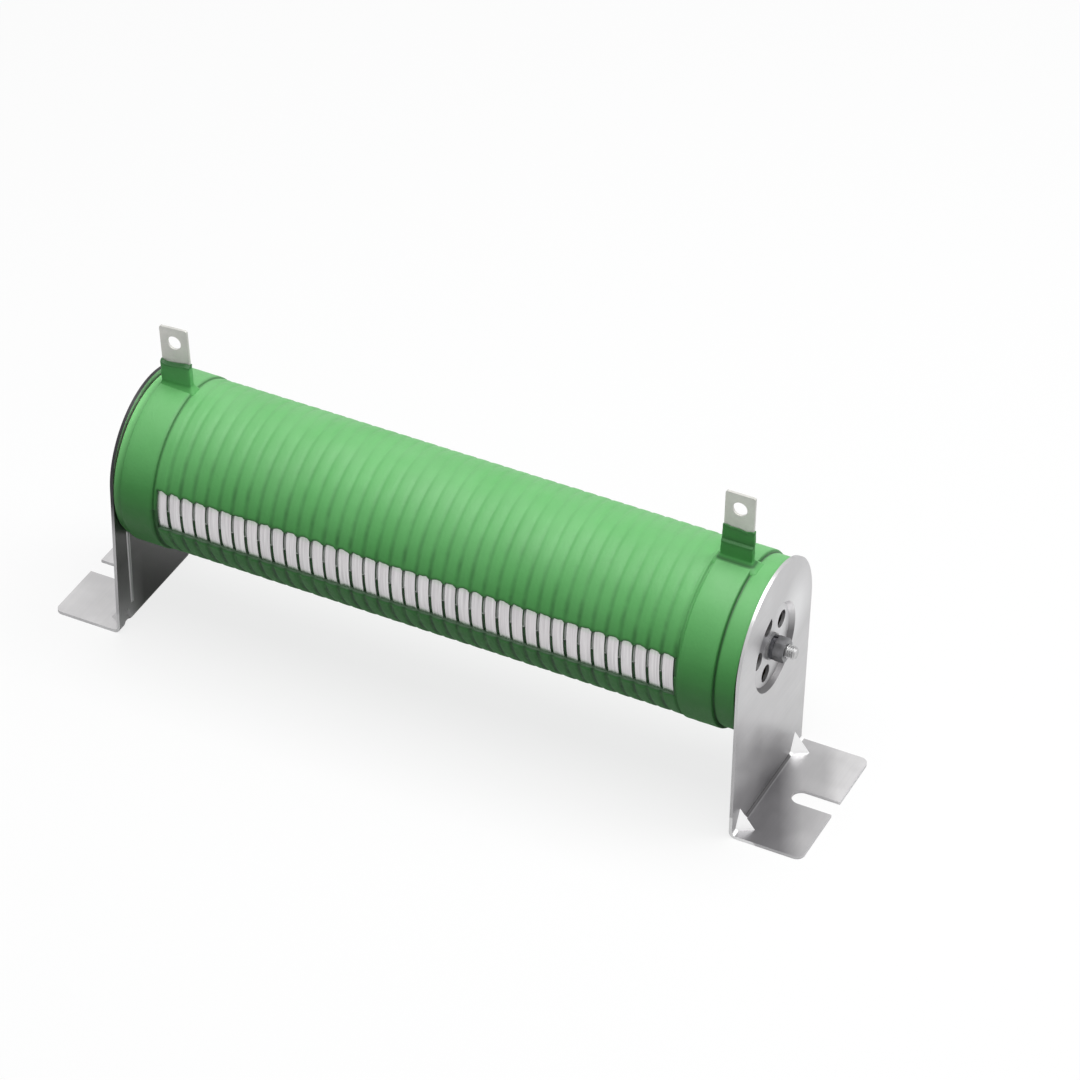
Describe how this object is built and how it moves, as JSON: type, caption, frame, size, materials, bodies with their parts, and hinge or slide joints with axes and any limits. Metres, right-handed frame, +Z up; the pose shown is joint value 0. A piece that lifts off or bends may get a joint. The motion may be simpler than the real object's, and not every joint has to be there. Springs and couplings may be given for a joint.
{
  "type": "braking resistor",
  "caption": "Tubular wirewound braking resistor: coated ceramic tube with a bare strip along the winding, standing terminal lugs and folded end brackets with slotted feet.",
  "frame": {"origin": "under the middle of the tube, at the level of the undersides of the two feet", "axes": "+X along the tube towards the end with the taller lug, -Y the side with the bare strip, +Z up"},
  "size_m": [0.3, 0.0652, 0.1241],
  "materials": {
    "ceramic": "unglazed, rough",
    "resistance_alloy": "bare rolled strip, faintly streaked",
    "green_coat": "fired green coating, satin",
    "plated_steel": "zinc plated, satin",
    "terminal_metal": "tinned, dull",
    "bracket_sheet": "bright plated sheet, satin",
    "gasket_sheet": "pressed mica, dull"
  },
  "bodies": {
    "root": {"ceramic_core": "ceramic", "end_bracket_left": "bracket_sheet", "end_bracket_right": "bracket_sheet", "end_gasket_left": "gasket_sheet", "end_gasket_right": "gasket_sheet", "flat_washer_left": "plated_steel", "flat_washer_right": "plated_steel", "green_coating": "green_coat", "nut_left": "plated_steel", "nut_right": "plated_steel", "resistance_ribbon": "resistance_alloy", "spring_washer_left": "plated_steel", "spring_washer_right": "plated_steel", "terminal_band_left": "terminal_metal", "terminal_band_right": "terminal_metal", "through_rod": "plated_steel"}
  },
  "joints": []
}
